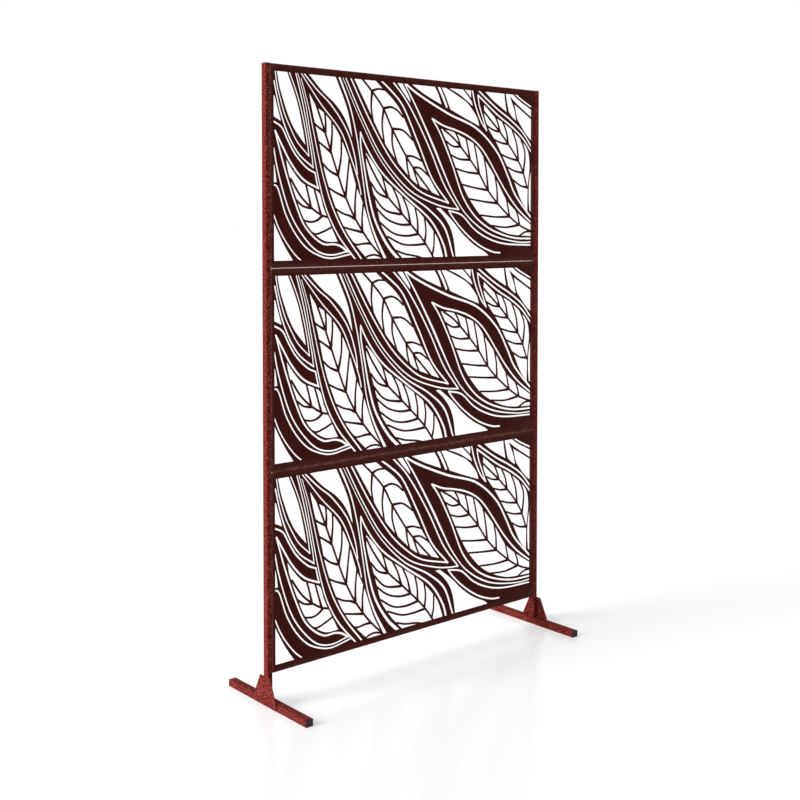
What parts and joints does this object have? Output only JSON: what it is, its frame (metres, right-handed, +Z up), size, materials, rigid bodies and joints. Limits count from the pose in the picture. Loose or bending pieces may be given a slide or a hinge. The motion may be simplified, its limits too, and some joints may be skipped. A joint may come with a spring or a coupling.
{
  "type": "free-standing decorative screen",
  "caption": "Free-standing metal room screen: laser-cut foliage panels stacked between slim tube uprights, each on a long tube foot with an outside brace plate.",
  "frame": {"origin": "on the floor, midway between the two feet and on the depth centre line of the uprights", "axes": "+Z up, +X from the left upright to the right one seen from the front, the panels' cut faces look towards -Y"},
  "size_m": [1.1964, 0.41, 1.93],
  "materials": {
    "panel_coat": "dark brown powder coat on steel sheet, satin",
    "frame_coat": "redder brown speckled powder coat on steel tube and plate",
    "cap_plastic": "dark brown moulded plastic, matte",
    "bolt_coat": "button-head fasteners coated with the frame",
    "zinc_steel": "bright zinc-plated steel"
  },
  "bodies": {
    "root": {"panel_top": "panel_coat", "panel_middle": "panel_coat", "panel_bottom": "panel_coat", "upright_left": "frame_coat", "upright_cap_left": "cap_plastic", "foot_left": "frame_coat", "foot_plug_left_front": "cap_plastic", "foot_plug_left_back": "cap_plastic", "brace_plate_left": "frame_coat", "brace_bolt_left_upright_upper": "bolt_coat", "brace_nut_left_upright_upper": "zinc_steel", "brace_bolt_left_upright_lower": "bolt_coat", "brace_nut_left_upright_lower": "zinc_steel", "brace_bolt_left_foot_front": "bolt_coat", "brace_nut_left_foot_front": "zinc_steel", "brace_bolt_left_foot_back": "bolt_coat", "brace_nut_left_foot_back": "zinc_steel", "panel_screw_left_bottom_low": "bolt_coat", "panel_nut_left_bottom_low": "zinc_steel", "panel_screw_left_bottom_high": "bolt_coat", "panel_nut_left_bottom_high": "zinc_steel", "panel_screw_left_middle_low": "bolt_coat", "panel_nut_left_middle_low": "zinc_steel", "panel_screw_left_middle_high": "bolt_coat", "panel_nut_left_middle_high": "zinc_steel", "panel_screw_left_top_low": "bolt_coat", "panel_nut_left_top_low": "zinc_steel", "panel_screw_left_top_high": "bolt_coat", "panel_nut_left_top_high": "zinc_steel", "upright_right": "frame_coat", "upright_cap_right": "cap_plastic", "foot_right": "frame_coat", "foot_plug_right_front": "cap_plastic", "foot_plug_right_back": "cap_plastic", "brace_plate_right": "frame_coat", "brace_bolt_right_upright_upper": "bolt_coat", "brace_nut_right_upright_upper": "zinc_steel", "brace_bolt_right_upright_lower": "bolt_coat", "brace_nut_right_upright_lower": "zinc_steel", "brace_bolt_right_foot_front": "bolt_coat", "brace_nut_right_foot_front": "zinc_steel", "brace_bolt_right_foot_back": "bolt_coat", "brace_nut_right_foot_back": "zinc_steel", "panel_screw_right_bottom_low": "bolt_coat", "panel_nut_right_bottom_low": "zinc_steel", "panel_screw_right_bottom_high": "bolt_coat", "panel_nut_right_bottom_high": "zinc_steel", "panel_screw_right_middle_low": "bolt_coat", "panel_nut_right_middle_low": "zinc_steel", "panel_screw_right_middle_high": "bolt_coat", "panel_nut_right_middle_high": "zinc_steel", "panel_screw_right_top_low": "bolt_coat", "panel_nut_right_top_low": "zinc_steel", "panel_screw_right_top_high": "bolt_coat", "panel_nut_right_top_high": "zinc_steel"}
  },
  "joints": []
}
